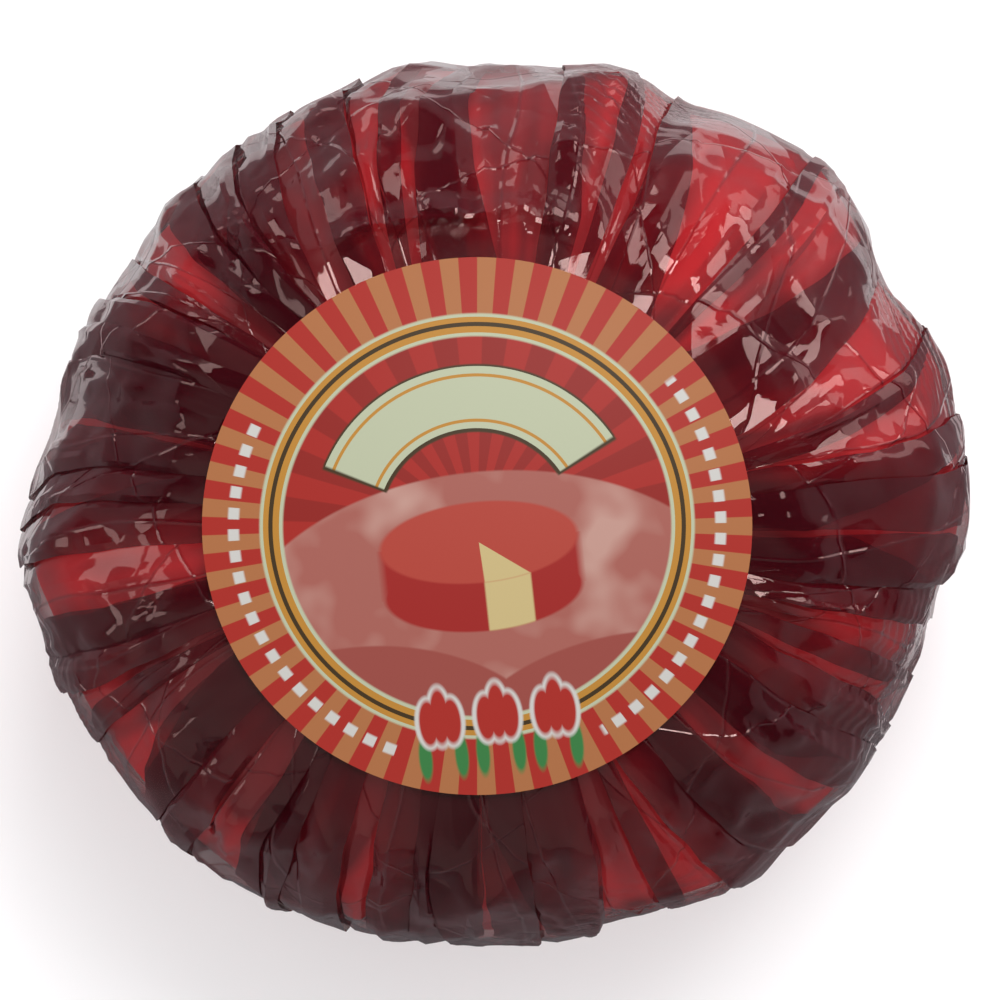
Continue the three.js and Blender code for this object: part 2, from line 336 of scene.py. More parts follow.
# Rings of facets: their height angle, and the distance from one facet to the next.
FACET_RINGS = [
    (52, 15), (65, 14), (78, 14), (91, 13), (103, 13),
    (114, 12), (124, 10), (132, 8), (139, 7), (147, 8),
]


def direction(height, turn):
    """The way from the ball's middle to a place on it, 1 long."""
    h, t = np.radians(height), np.radians(turn)
    return np.stack([np.sin(h) * np.cos(t), np.sin(h) * np.sin(t), -np.cos(h)], axis=-1)


def make_facets():
    """For each facet, the direction that it faces, and its plane's distance from the middle in ball radii."""
    facets = []
    for ring_height, spacing in FACET_RINGS:
        count = round(360 * math.sin(math.radians(ring_height)) / spacing)
        for place in range(count):
            turn = (place + random.uniform(-0.38, 0.38)) * 360 / count + ring_height
            height = ring_height + random.uniform(-4.5, 4.5)
            tilt_turn = random.uniform(-FACET_TILT, FACET_TILT) / math.sin(math.radians(height))
            tilt_height = random.uniform(-FACET_TILT, FACET_TILT)
            kept = random.uniform() > FACETS_LEFT_OUT
            normal = direction(height + tilt_height, turn + tilt_turn)
            off_ball = 1.004 + random.uniform(-0.004, 0.004)
            distance = float(normal @ direction(height, turn)) * off_ball
            if kept:
                facets.append((normal, distance))
    return facets


facets = make_facets()
print(len(facets), "facets")


def facet_relief(turns, heights):
    """How far the flat facets stand off the round ball, in mm."""
    looking = direction(np.broadcast_to(heights[:, None], turns.shape), turns)
    nearest = np.full(turns.shape, 1.03)
    for normal, distance in facets:
        facing = looking @ normal
        nearest = np.minimum(nearest, distance / np.maximum(facing, 0.9))
    away = FACET_RADIUS * (nearest - 1) - FACET_SINK
    return away * (smooth(40, 60, heights) * (1 - smooth(146, 160, heights)))[:, None]


# %% [markdown]
# Creases. Each crease is a low roof along a short straight line: highest on the line and falling evenly to
# both sides. Broad ones go through all layers of film, and each open stretch has narrow ones of its own.
# Pleats are roofs with one steep side, and wrinkles are many small roofs side by side, where the film has
# shrunk.

# %% Creases
BROAD_CREASES = 130


def roof(u, v, angle, length, half_width):
    """A roof of height 1 with its ridge through u = v = 0, in the direction of the angle."""
    along = u * math.cos(angle) + v * math.sin(angle)
    across = u * -math.sin(angle) + v * math.cos(angle)
    ends = np.clip(1.6 - np.abs(along) / length * 3.2, 0, 1)
    return np.clip(1 - np.abs(across) / half_width, 0, 1) * ends


def add_roofs(relief, u, v, count, width_mm, heights, length_mm, half_width_mm, peak_mm, lean_degrees):
    """Adds count roofs to relief, at random places of a strip that is width_mm wide."""
    for _ in range(count):
        middle_u = random.uniform(-0.5, 0.5) * width_mm
        middle_v = random.uniform(*heights)
        angle = math.radians(90 + random.normal(0, lean_degrees))
        length = random.uniform(*length_mm)
        half_width = random.uniform(*half_width_mm)
        peak = random.uniform(*peak_mm)
        relief += peak * roof(u - middle_u, v - middle_v, angle, length, half_width)


def broad_relief(turns, heights):
    """Wide creases that go through all layers of film at a place. They push it out and in."""
    grid_heights = np.broadcast_to(heights[:, None], turns.shape)
    relief = np.zeros_like(turns)
    for _ in range(BROAD_CREASES):
        middle_turn = random.uniform(0, 360)
        middle_height = random.uniform(84, 142)
        angle = math.radians(90 + random.normal(0, 34))
        length = random.uniform(16, 46)
        half_width = random.uniform(2.5, 7.0)
        peak = half_width * random.uniform(0.06, 0.18) * random.choice([-1, 1])
        u = turned(turns - middle_turn) * ROW_MM * np.maximum(np.sin(np.radians(grid_heights)), 0.35)
        v = (grid_heights - middle_height) * ROW_MM
        relief += peak * roof(u, v, angle, length, half_width)
    return relief * (mix(0.35, 1.0, smooth(98, 114, heights)) * smooth(60, 90, heights))[:, None]


# Patches of fine wrinkles across the folds: turn and height of the middle, and their half widths, in degrees.
WRINKLED = [
    (71, 104, 5, 13), (76, 118, 3, 9), (338, 108, 8, 11),
    (24, 100, 6, 9), (205, 104, 7, 10), (292, 112, 7, 9),
]
WRINKLE_MM = 3.4
WRINKLE_HEIGHT = 0.28


def wrinkle_relief(turns, heights):
    """Fine wrinkles in a few patches, in mm."""
    heights = np.broadcast_to(heights[:, None], turns.shape)
    relief = np.zeros_like(turns)
    for turn, height, half_turn, half_height in WRINKLED:
        u = turned(turns - turn) * 1.2
        phase = (heights * ROW_MM + 0.35 * u) / WRINKLE_MM + 0.4 * np.sin(u / 4.3)
        there = bell(turned(turns - turn), half_turn) * bell(heights - height, half_height)
        relief += WRINKLE_HEIGHT * (zigzag(2 * phase) + 1) * there
    return relief


def add_pleats(relief, shares, v, width_mm, count, peak_mm):
    """Adds count small pleats: each rises slowly across the strip and drops at a sharp line along it."""
    for _ in range(count):
        line = random.uniform(0.04, 0.96) + (v - 150) * random.normal(0, 0.0022)
        side = random.choice([-1, 1])
        run = random.uniform(2.2, 5.0)
        peak = random.uniform(*peak_mm)
        start, stop = random.uniform(115, 155), random.uniform(165, 190)
        across = (shares - line) * width_mm * side
        shape = np.where((across > -run) & (across <= 0), 1 + across / run, 0)
        relief += peak * shape * smooth(start - 10, start + 10, v) * (1 - smooth(stop - 10, stop + 10, v))


def stretch_relief(turns, shares, heights, is_window):
    """How far one open stretch of film stands out, in mm, as a grid of rows and columns."""
    mm_per_degree = 72 * np.radians(1) * np.maximum(np.sin(np.radians(heights)), 0.35)
    u = (turns - turns.mean(axis=1, keepdims=True)) * mm_per_degree[:, None]
    v = np.broadcast_to((heights * ROW_MM)[:, None], u.shape)
    width_mm = ((turns[:, -1] - turns[:, 0]) * mm_per_degree)[:, None] + 0.8
    width = float(width_mm.max())
    relief = np.zeros_like(u)
    middle, top = 100 * ROW_MM, 145 * ROW_MM
    long, short, close = (round(width * per_mm) + 1 for per_mm in (0.15, 0.12, 0.6))
    add_roofs(relief, u, v, long, width, (middle - 20, top), (25, 55), (3.0, 6.0), (0.3, 1.0), 10)
    add_roofs(relief, u, v, short, width, (middle, top), (14, 30), (2.0, 4.5), (0.2, 0.6), 24)
    add_roofs(relief, u, v, close, width, (top - 24, top), (9, 22), (1.2, 2.6), (0.2, 0.6), 16)
    relief *= mix(0.3, 1.0, smooth(98, 116, heights))[:, None]
    pleats = round(width / (7 if is_window else 3.2)) + 1
    add_pleats(relief, shares, v, width_mm, pleats, (0.25, 0.7))
    return relief * smooth(52, 84, heights)[:, None]


# %% [markdown]
# One ring of the film is a walk round the ball: out to a fold's edge, back to its crease, forward again,
# and on over the open stretch to the next fold. All rings together make a grid of turns and lifts.

# %% The film's grid
LIP_HEIGHT = 2.9  # of the roll of film along the upper edge of the label


def hidden_run(first, last):
    """The columns of one hidden layer, from first to just before last."""
    shares = np.arange(FOLD_COLUMNS) / FOLD_COLUMNS
    return first[:, None] + (last - first)[:, None] * shares


def make_lines(heights):
    """Each fold's edge and crease, and how high its edge stands, for every row."""
    lines = []
    for i, fold in enumerate(folds):
        edge, depth, opened = fold_lines(fold, heights)
        edge = edge + kink(i, heights) * (0.4 if fold["tuck"] else 1)
        lines.append({
            "edge": edge,
            "crease": edge - fold["side"] * depth,
            "high": FOLD_HEIGHT * fold["rise"] * opened * (1 + 0.05 * depth),
            "spread": 0.35 * (1 - smooth(fold["tip"] + 2, fold["tip"] + 14, heights)),
        })
    return lines


def stretch_rule(lines, i):
    """The open film from fold i to the next one: where it begins and ends, and its lift at a turn."""
    after = (i + 1) % len(folds)
    here, there = lines[i], lines[after]
    once_round = np.where(there["edge"] < here["edge"], 360, 0)
    next_edge = there["edge"] + once_round
    side, next_side = folds[i]["side"], folds[after]["side"]
    run_from = here["crease"] if side > 0 else here["edge"]
    run_to = next_edge if next_side > 0 else there["crease"] + once_round
    lift_start = here["high"] * (side < 0)
    lift_end = there["high"] * (next_side > 0)

    def lift_at(turn):
        share = np.clip((turn - run_from[:, None]) / (run_to - run_from)[:, None], 0, 1)
        return lift_start[:, None] * (1 - share) + lift_end[:, None] * share

    return here["edge"] + here["spread"], next_edge - there["spread"], lift_at


def film_grid(heights):
    """The turn and the lift in mm of each place of the film, for all rows and columns."""
    lines = make_lines(heights)
    rules = [stretch_rule(lines, i) for i in range(len(folds))]
    turns = []
    lifts = []
    for i, fold in enumerate(folds):
        line = lines[i]
        begin, end, lift_at = rules[i]
        before_lift_at = rules[i - 1][2]
        once_round = np.where(line["edge"] < lines[i - 1]["edge"], 360, 0)
        low = np.zeros_like(line["high"])
        if fold["side"] > 0:
            first_lift, last_lift = line["high"], lift_at(line["edge"][:, None])[:, 0]
        else:
            first_lift, last_lift = before_lift_at((line["edge"] + once_round)[:, None])[:, 0], line["high"]
        turns.append(hidden_run(line["edge"] - line["spread"], line["crease"]))
        lifts.append(hidden_run(first_lift, low))
        turns.append(hidden_run(line["crease"], line["edge"] + line["spread"]))
        lifts.append(hidden_run(low, last_lift))

        shares = np.arange(open_columns[i]) / open_columns[i]
        stretch = begin[:, None] + (end - begin)[:, None] * shares
        width = end - begin
        puff_shape = bell(heights - fold["puff_height"], 17) * np.clip(width / 9, 0.35, 1)
        puff = fold["puff"] * puff_shape[:, None] * np.sin(np.pi * shares)
        edge_fade = np.clip(np.minimum(shares, 1 - shares) * 8 + 0.25, 0, 1)
        in_window = fold["tuck"] or folds[(i + 1) % len(folds)]["tuck"] or float(width.max()) > 9
        relief = stretch_relief(stretch, shares, heights, in_window)
        turns.append(stretch)
        lifts.append(lift_at(stretch) + puff + relief * edge_fade)
    return np.hstack(turns), np.hstack(lifts)


def lip_at(heights, turns):
    """The height of the roll in mm: a long slope outside, and a short one towards the label."""
    run = smooth(71, 79, turns) * (1 - smooth(114, 124, turns))
    past_crest = heights - (138.2 + 0.7 * zigzag(turns / 6.5) + 0.3 * zigzag(turns / 2.3))
    slope = np.where(past_crest < 0, 1 + past_crest / 2.8, 1 - past_crest / 1.5)
    return LIP_HEIGHT * run * np.clip(slope, 0, 1)


def off_the_ball(heights, turns, off, lean):
    """The place off mm outside the ball. The lean moves the upper places towards the label's middle."""
    reach = ball_radius(heights, turns) + off
    outward = reach * np.sin(np.radians(heights))
    shift = lean * smooth(70, LABEL_RIM_HEIGHT, heights)
    x = outward * np.cos(np.radians(turns)) + LABEL_CENTRE_X * shift
    y = outward * np.sin(np.radians(turns)) + LABEL_CENTRE_Y * shift
    return x, y, BALL_CENTRE_Z - reach * np.cos(np.radians(heights))


def film_points(heights, turns, lifts):
    """Each place of the film in metres: free on the side, and pressed flat under the label."""
    heights = heights[:, None]
    pile = FILM_PILE * smooth(EQUATOR_HEIGHT, LABEL_RIM_HEIGHT, heights)
    off = smooth(20, 60, heights) * (FILM_CLEARANCE + slack_at(heights, turns)) + pile + lifts
    x, y, free = off_the_ball(heights, turns, off, 1)
    seat = label_top(x, y) - LABEL_THICKNESS - 0.25
    pressed = seat - 0.25 * (4 - np.clip(lifts, -3, 4))
    held = mix(free, pressed, smooth(LABEL_RIM_HEIGHT - 10, LABEL_RIM_HEIGHT + 0.5, heights))
    inside = np.hypot((x - LABEL_CENTRE_X) / LABEL_HALF_WIDTH, (y - LABEL_CENTRE_Y) / LABEL_HALF_DEPTH)
    z = np.where(inside < 1.02, np.minimum(held, pressed), held + lip_at(heights, turns))
    return np.stack([x + SHIFT_X, y + SHIFT_Y, np.maximum(z, 0)], axis=-1) / 1000


grid_turns, grid_lifts = film_grid(row_heights)
grid_facets = facet_relief(grid_turns, row_heights)
lowest = -CHEESE_DEPTH - (1 - CHEESE_FACETS) * grid_facets  # the film can't sink into the cheese
grid_creases = np.maximum(broad_relief(grid_turns, row_heights), lowest)
grid_lifts = grid_lifts + grid_facets + grid_creases + wrinkle_relief(grid_turns, row_heights)
grid_points = film_points(row_heights, grid_turns, grid_lifts)
print("film grid", grid_points.shape)


# %% [markdown]
# No primitive has folds that turn back under themselves, so the film starts as a flat grid with one vertex
# for each place of the film's grid. Its vertices are moved to their places, and merging by distance then
# closes the seam, where the last column meets the first, and the two poles. Before the merge the UV map is
# set: it is in millimetres of film, across the folds and along them. Cloth simulation is no help: such film
# creases at straight lines, and cloth drapes in soft waves.

# %% The film's mesh
COLUMN_MM = 0.85


def closed_mesh(name, points, row_mm=None, column_material=None, crumple=None):
    """A closed surface through points, a grid of rows from the bottom pole to the top one."""
    rows, columns = points.shape[:2]
    bpy.ops.object.select_all(action="DESELECT")
    bpy.ops.mesh.primitive_grid_add(x_subdivisions=columns, y_subdivisions=rows - 1, size=2)
    piece = bpy.context.object
    piece.name = name
    piece.data.name = name
    places = np.zeros(3 * len(piece.data.vertices))
    piece.data.vertices.foreach_get("co", places)
    places = places.reshape(-1, 3)
    column = np.rint((places[:, 0] + 1) / 2 * columns).astype(int)
    row = np.rint((places[:, 1] + 1) / 2 * (rows - 1)).astype(int)
    corner = np.zeros(len(piece.data.loops), dtype=int)
    piece.data.loops.foreach_get("vertex_index", corner)
    if row_mm is not None:
        uv_map = piece.data.uv_layers.active
        uv_map.name = name + "_mm"
        uv = np.stack([column[corner] * COLUMN_MM, row_mm[row[corner]]], axis=-1)
        uv_map.data.foreach_set("uv", uv.ravel())
    if column_material is not None:
        around = column[corner].reshape(-1, 4).min(axis=1)
        piece.data.polygons.foreach_set("material_index", column_material[around])
    piece.data.vertices.foreach_set("co", points[row, column % columns].ravel())
    if crumple is not None:
        attribute = piece.data.attributes.new("crumple", "FLOAT", "POINT")
        attribute.data.foreach_set("value", crumple[row, column % columns])
    bpy.ops.object.mode_set(mode="EDIT")
    bpy.ops.mesh.select_all(action="SELECT")
    bpy.ops.mesh.remove_doubles(threshold=1e-7)
    bpy.ops.mesh.normals_make_consistent(inside=False)
    bpy.ops.object.mode_set(mode="OBJECT")
    bpy.ops.object.shade_smooth_by_angle(angle=math.radians(30))
    return piece


# The crumple value says how deep the material's creases are: more at the upper right and near the label.
crumple = 0.8 + 0.4 * bell(turned(grid_turns - 50), 60) + 0.9 * smooth(124, 141, row_heights)[:, None]
hidden_columns = np.concatenate([[1] * (2 * FOLD_COLUMNS) + [0] * count for count in open_columns])
film = closed_mesh("film", grid_points, row_heights * ROW_MM, hidden_columns, crumple)
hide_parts("wrapped_ball")
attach(film, "root")
print("film faces:", len(film.data.polygons))


# %% [markdown]
# The cheese is a round body close under the lowest film. It follows the film's slack and most of its
# facets, so that no pale gap shows between the two at the rim.

# %% The cheese
CHEESE_ROWS = 90
CHEESE_COLUMNS = 180


def cheese_points():
    heights = np.linspace(0, 180, CHEESE_ROWS + 1)[:, None]
    once_round = np.arange(CHEESE_COLUMNS) * 360 / CHEESE_COLUMNS
    turns = np.broadcast_to(once_round, (CHEESE_ROWS + 1, CHEESE_COLUMNS))
    slack = smooth(20, 60, heights) * slack_at(heights, turns)
    off = slack + CHEESE_FACETS * facet_relief(turns, heights[:, 0]) - CHEESE_DEPTH
    x, y, z = off_the_ball(heights, turns, off, 0.9)
    z = np.clip(z, 0.6, label_top(x, y) - 4.0)
    return np.stack([x + SHIFT_X, y + SHIFT_Y, z], axis=-1) / 1000


cheese = closed_mesh("cheese", cheese_points())
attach(cheese, "root")
print("cheese faces:", len(cheese.data.polygons))


# %% [markdown]
# The label is a disc of paper. It starts as a thin cylinder, gets rings by insets so that it can bend, and
# is then bent down over the ball. Its UV map has its middle at (0.5, 0.5) and its rim on a circle of radius
# 0.5.

# %% The label
LABEL_RINGS = 12
LABEL_TURN = 6.0


def make_label():
    bpy.ops.object.select_all(action="DESELECT")
    bpy.ops.mesh.primitive_cylinder_add(vertices=160, radius=1, depth=LABEL_THICKNESS, location=(0, 0, 0))
    label = bpy.context.object
    label.name = "paper_label"
    label.data.name = "paper_label"
    bpy.ops.object.mode_set(mode="EDIT")
    bpy.ops.mesh.select_mode(type="FACE")
    bpy.ops.mesh.select_all(action="DESELECT")
    bpy.ops.object.mode_set(mode="OBJECT")
    for face in label.data.polygons:
        face.select = abs(face.normal.z) > 0.9
    bpy.ops.object.mode_set(mode="EDIT")
    for _ in range(LABEL_RINGS):
        bpy.ops.mesh.inset(thickness=1 / (LABEL_RINGS + 1))
    bpy.ops.object.mode_set(mode="OBJECT")
    uv_map = label.data.uv_layers.active
    uv_map.name = "print"
    for loop in label.data.loops:
        place = label.data.vertices[loop.vertex_index].co
        uv_map.data[loop.index].uv = (0.5 + place.x / 2, 0.5 + place.y / 2)
    for vertex in label.data.vertices:
        x = LABEL_CENTRE_X + LABEL_HALF_WIDTH * vertex.co.x
        y = LABEL_CENTRE_Y + LABEL_HALF_DEPTH * vertex.co.y
        z = label_top(x, y) + vertex.co.z - LABEL_THICKNESS / 2
        vertex.co = ((x + SHIFT_X) / 1000, (y + SHIFT_Y) / 1000, z / 1000)
    bpy.ops.object.shade_smooth_by_angle(angle=math.radians(40))
    return label


label = make_label()
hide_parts("label")
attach(label, "root")
print("label faces:", len(label.data.polygons))


# %% [markdown]
# Materials. Small helpers each add one node and give back its output, so that a material reads from top to
# bottom like a sum.

# %% Material helpers
def new_material(name, colour, roughness):
    material = bpy.data.materials.new(name)
    material.use_nodes = True
    shader = material.node_tree.nodes["Principled BSDF"]
    shader.inputs["Base Color"].default_value = (*colour, 1)
    shader.inputs["Roughness"].default_value = roughness
    material.diffuse_color = (*colour, 1)
    return material, material.node_tree, shader


def feed(tree, socket, value):
    """Gives a socket a constant, or the output of another node."""
    if isinstance(value, (int, float, tuple)):
        socket.default_value = value
    else:
        tree.links.new(value, socket)


def calculate(tree, operation, *values, clamp=False):
    node = tree.nodes.new("ShaderNodeMath")
    node.operation = operation
    node.use_clamp = clamp
    for socket, value in zip(node.inputs, values):
        feed(tree, socket, value)
    return node.outputs[0]


def vector_step(tree, operation, *values, output="Vector"):
    node = tree.nodes.new("ShaderNodeVectorMath")
    node.operation = operation
    for socket, value in zip(node.inputs, values):
        feed(tree, socket, value)
    return node.outputs[output]


def parts_of(tree, place):
    """The X, Y and Z of a place."""
    node = tree.nodes.new("ShaderNodeSeparateXYZ")
    tree.links.new(place, node.inputs["Vector"])
    return node.outputs["X"], node.outputs["Y"], node.outputs["Z"]


def noise(tree, place, scale, detail):
    node = tree.nodes.new("ShaderNodeTexNoise")
    node.inputs["Scale"].default_value = scale
    node.inputs["Detail"].default_value = detail
    tree.links.new(place, node.inputs["Vector"])
    return node.outputs["Fac"]


def map_place(tree, name):
    node = tree.nodes.new("ShaderNodeUVMap")
    node.uv_map = name
    return node.outputs["UV"]


def blend_colour(tree, mask, below, above):
    node = tree.nodes.new("ShaderNodeMix")
    node.data_type = "RGBA"
    tree.links.new(mask, node.inputs["Factor"])
    for socket, value in ((node.inputs[6], below), (node.inputs[7], above)):
        feed(tree, socket, (*value, 1) if isinstance(value, tuple) else value)
    return node.outputs[2]


# %% [markdown]
# The film is thin, glossy and dyed. Its alpha lets part of the light through, so one thickness over the
# cheese looks bright red, and three or more look maroon. That happens by itself, because the folds are real
# layers. What is too fine for the mesh is bump: flat patches with straight edges, and families of thin
# ridges, where the film is also a little darker. Layers folded under get a plainer material, because their
# gloss never shows.

# %% Film material
FILM_COLOUR = (0.072, 0.003, 0.008)
FILM_ALPHA = 0.38
GLOSS_TINT = (1.0, 0.68, 0.64)
FILM_IOR = 2.2  # higher than one face has, because the film mirrors with both of its faces
SLANT_POWER = 2.6
SLANT_ALPHA = 1.08
RIDGE_WIDTH = 0.35
RIDGE_DYE = 0.22
RIDGE_HEIGHT = 0.16
BEND_MM = 14

# Families of parallel creases: the way across them in degrees from the folds' own, spacing in mm, slope, and
# how far a slow wave bends and spreads them.
CREASE_FAMILIES = [
    (4, 5.3, 0.045, 1.5),
    (34, 12.7, 0.045, 2.6),
    (-58, 16.9, 0.03, 2.2),
]

# Flat patches between the creases: across the folds and along them in mm, and the steepest slope.
PATCH_WIDTH = 8.5
PATCH_LENGTH = 19.0
PATCH_SLOPE = 0.13


def flat_patches(tree, place):
    """The height of flat patches with straight edges, each tilted its own way and long along the folds."""
    scaled = vector_step(tree, "MULTIPLY", place, (1 / PATCH_WIDTH, 1 / PATCH_LENGTH, 0))
    cells = tree.nodes.new("ShaderNodeTexVoronoi")
    cells.voronoi_dimensions = "2D"
    cells.inputs["Scale"].default_value = 1
    tree.links.new(scaled, cells.inputs["Vector"])
    from_middle = vector_step(tree, "SUBTRACT", scaled, cells.outputs["Position"])
    any_way = vector_step(tree, "SUBTRACT", cells.outputs["Color"], (0.5, 0.5, 0.5))
    steepest = (2 * PATCH_SLOPE * PATCH_WIDTH, 2 * PATCH_SLOPE * PATCH_LENGTH, 0)
    tilt = vector_step(tree, "MULTIPLY", any_way, steepest)
    return vector_step(tree, "DOT_PRODUCT", from_middle, tilt, output="Value")


def crease_family(tree, place, lean, spacing, slope, bend):
    """Straight creases, with flat strips between them that face in turn one way and the other. It gives the
    strips' height and the height of the thin ridge on every second crease."""
    a = math.radians(lean)
    way_across = (math.cos(a), math.sin(a), 0)
    way_along = (-math.sin(a) / BEND_MM, math.cos(a) / BEND_MM, 0)
    across = vector_step(tree, "DOT_PRODUCT", place, way_across, output="Value")
    along = vector_step(tree, "DOT_PRODUCT", place, way_along, output="Value")
    slow = calculate(tree, "SINE", calculate(tree, "MULTIPLY_ADD", across, 0.13, along))
    offset = calculate(tree, "PINGPONG", calculate(tree, "MULTIPLY_ADD", slow, bend, across), spacing)
    ridge = calculate(tree, "MULTIPLY_ADD", offset, -1 / RIDGE_WIDTH, 1, clamp=True)
    return calculate(tree, "MULTIPLY", offset, slope), ridge


def add_creases(tree, shader):
    """The film's gloss and bump. It gives the ridges, 1 on a ridge and 0 beside it."""
    shader.inputs["IOR"].default_value = FILM_IOR
    shader.inputs["Roughness"].default_value = 0.06
    shader.inputs["Coat Weight"].default_value = 0.12
    shader.inputs["Coat IOR"].default_value = 1.5
    shader.inputs["Coat Roughness"].default_value = 0.04
    place = map_place(tree, "film_mm")
    relief, ridges = flat_patches(tree, place), 0
    for family in CREASE_FAMILIES:
        strips, ridge = crease_family(tree, place, *family)
        relief = calculate(tree, "ADD", relief, strips)
        ridges = calculate(tree, "ADD", ridges, ridge)
    crumple_value = tree.nodes.new("ShaderNodeAttribute")
    crumple_value.attribute_name = "crumple"
    ridge_height = calculate(tree, "MULTIPLY", ridges, RIDGE_HEIGHT)
    height = calculate(tree, "MULTIPLY_ADD", relief, crumple_value.outputs["Fac"], ridge_height)
    bump = tree.nodes.new("ShaderNodeBump")
    bump.inputs["Strength"].default_value = 1
    bump.inputs["Distance"].default_value = 0.001
    tree.links.new(height, bump.inputs["Height"])
    tree.links.new(bump.outputs["Normal"], shader.inputs["Normal"])
    tree.links.new(bump.outputs["Normal"], shader.inputs["Coat Normal"])
    return ridges


def film_material(name, is_creased):
    material, tree, shader = new_material(name, FILM_COLOUR, 0.1)
    shader.inputs["Specular Tint"].default_value = (*GLOSS_TINT, 1)
    if is_creased:
        dyed = calculate(tree, "MULTIPLY_ADD", add_creases(tree, shader), RIDGE_DYE, FILM_ALPHA)
    else:
        shader.inputs["Specular IOR Level"].default_value = 0.1
        dyed = FILM_ALPHA

    # Seen at a slant the light passes more dye, so the film lets less through.
    slant = tree.nodes.new("ShaderNodeLayerWeight")
    slant.inputs["Blend"].default_value = 0.5
    steep = calculate(tree, "POWER", slant.outputs["Facing"], SLANT_POWER)
    alpha = calculate(tree, "MULTIPLY_ADD", steep, SLANT_ALPHA - FILM_ALPHA, dyed, clamp=True)
    tree.links.new(alpha, shader.inputs["Alpha"])
    return material


film.data.materials.append(film_material("red_film", True))
film.data.materials.append(film_material("red_film_folded_under", False))


# %% [markdown]
# The cheese's colour is the one that it has through the film: cellophane lets only red light through, and
# an alpha value alone can't colour what is behind it. Where the film clings to the rind no air lies between
# them, and the red is bright. Noise decides where, once as rays round the ball and once as patches. Two
# opposite sides are a little brighter, and painted shade darkens it towards the label's rim, where the film
# also stands off the rind.

# %% Cheese material
CHEESE_BRIGHT = (0.8, 0.003, 0.009)
CHEESE_DULL = (0.28, 0.001, 0.005)
# Two opposite sides of the cheese are brighter, the brightest at this turn in degrees and half a turn from
# it.
BRIGHTEST_SIDE_TURN = 20
SIDES_BRIGHTER = 0.055
CLINGING_CONTRAST = 7
CLINGING_LEVEL = -2.65
# Painted shade towards the label's rim: the height in metres where it starts, how far it runs, and how much
# darker it makes the cheese.
LABEL_SHADE_FROM = 0.098
LABEL_SHADE_RUN = 0.016
LABEL_SHADE_DEPTH = 0.11


def cheese_material():
    """Bright where the film clings to the rind, and duller where air lies between them. Two sides are
    brighter, and painted shade darkens it near the label.
    """
    material, tree, shader = new_material("cheese_behind_film", CHEESE_BRIGHT, 0.6)
    place = tree.nodes.new("ShaderNodeTexCoord").outputs["Object"]
    around = vector_step(tree, "NORMALIZE", vector_step(tree, "MULTIPLY", place, (1, 1, 0)))
    rays = noise(tree, around, 7, 2)
    patches = calculate(tree, "MULTIPLY", noise(tree, place, 42, 1), 0.4)
    clinging_and_shade = calculate(tree, "MULTIPLY_ADD", rays, 0.6, patches)

    # It is brighter on two opposite sides, and darker towards the label: painted shade under the label's rim,
    # where the film also stands off the rind.
    x, y, z = parts_of(tree, place)
    from_side = math.radians(90 - 2 * BRIGHTEST_SIDE_TURN)
    twice = calculate(tree, "MULTIPLY_ADD", calculate(tree, "ARCTAN2", y, x), 2, from_side)
    clinging_and_shade = calculate(tree, "MULTIPLY_ADD", calculate(tree, "SINE", twice), SIDES_BRIGHTER, clinging_and_shade)
    start = -LABEL_SHADE_FROM / LABEL_SHADE_RUN
    painted_label_shade = calculate(tree, "MULTIPLY_ADD", z, 1 / LABEL_SHADE_RUN, start, clamp=True)
    clinging_and_shade = calculate(tree, "MULTIPLY_ADD", painted_label_shade, -LABEL_SHADE_DEPTH, clinging_and_shade)
    share = calculate(tree, "MULTIPLY_ADD", clinging_and_shade, CLINGING_CONTRAST, CLINGING_LEVEL, clamp=True)
    tree.links.new(blend_colour(tree, share, CHEESE_DULL, CHEESE_BRIGHT), shader.inputs["Base Color"])
    return material


cheese.data.materials.append(cheese_material())


# %% [markdown]
# The label's print is made of simple shapes. A mask is 1 inside its shape and 0 outside, with an edge about
# as sharp as print, and each shape is laid over the ones before it. Places and sizes are in label radii.

# %% Shapes for the print
PRINT_EDGE = 0.008


def edge_mask(tree, inside, size):
    """A mask from a value that is 0 on the shape's outline and 1 at its middle, which is size radii away."""
    return calculate(tree, "MULTIPLY_ADD", inside, size / PRINT_EDGE, 0.5, clamp=True)


def centre_on(tree, place, x, y, half_width, half_height):
    """The place as seen from a shape's middle, in its half widths and half heights."""
    moved = vector_step(tree, "SUBTRACT", place, (x, y, 0))
    return vector_step(tree, "MULTIPLY", moved, (1 / half_width, 1 / half_height, 0))


def ellipse(tree, place, x, y, half_width, half_height):
    scaled = centre_on(tree, place, x, y, half_width, half_height)
    length = vector_step(tree, "LENGTH", scaled, output="Value")
    return edge_mask(tree, calculate(tree, "SUBTRACT", 1, length), min(half_width, half_height))


def box_shape(tree, place, x, y, half_width, half_height):
    scaled = centre_on(tree, place, x, y, half_width, half_height)
    across, up, _ = parts_of(tree, vector_step(tree, "ABSOLUTE", scaled))
    inside = calculate(tree, "SUBTRACT", 1, calculate(tree, "MAXIMUM", across, up))
    return edge_mask(tree, inside, min(half_width, half_height))


def ring_shape(tree, radius, inner, outer):
    over = edge_mask(tree, calculate(tree, "SUBTRACT", radius, inner), 1)
    under = edge_mask(tree, calculate(tree, "SUBTRACT", outer, radius), 1)
    return calculate(tree, "MULTIPLY", over, under)


def sector(tree, angle, first, last):
    """The directions between two angles in degrees, counted counter-clockwise from the print's right."""
    middle, half = math.radians((first + last) / 2), math.radians((last - first) / 2)
    offset = calculate(tree, "WRAP", calculate(tree, "SUBTRACT", angle, middle), math.pi, -math.pi)
    inside = calculate(tree, "SUBTRACT", half, calculate(tree, "ABSOLUTE", offset))
    return edge_mask(tree, inside, 0.5)


def waves_mask(tree, angle, count, sharpness, level=0.5):
    """A mask of count equal rays round the middle."""
    wave = calculate(tree, "SINE", calculate(tree, "MULTIPLY", angle, count))
    return calculate(tree, "MULTIPLY_ADD", wave, sharpness, level, clamp=True)


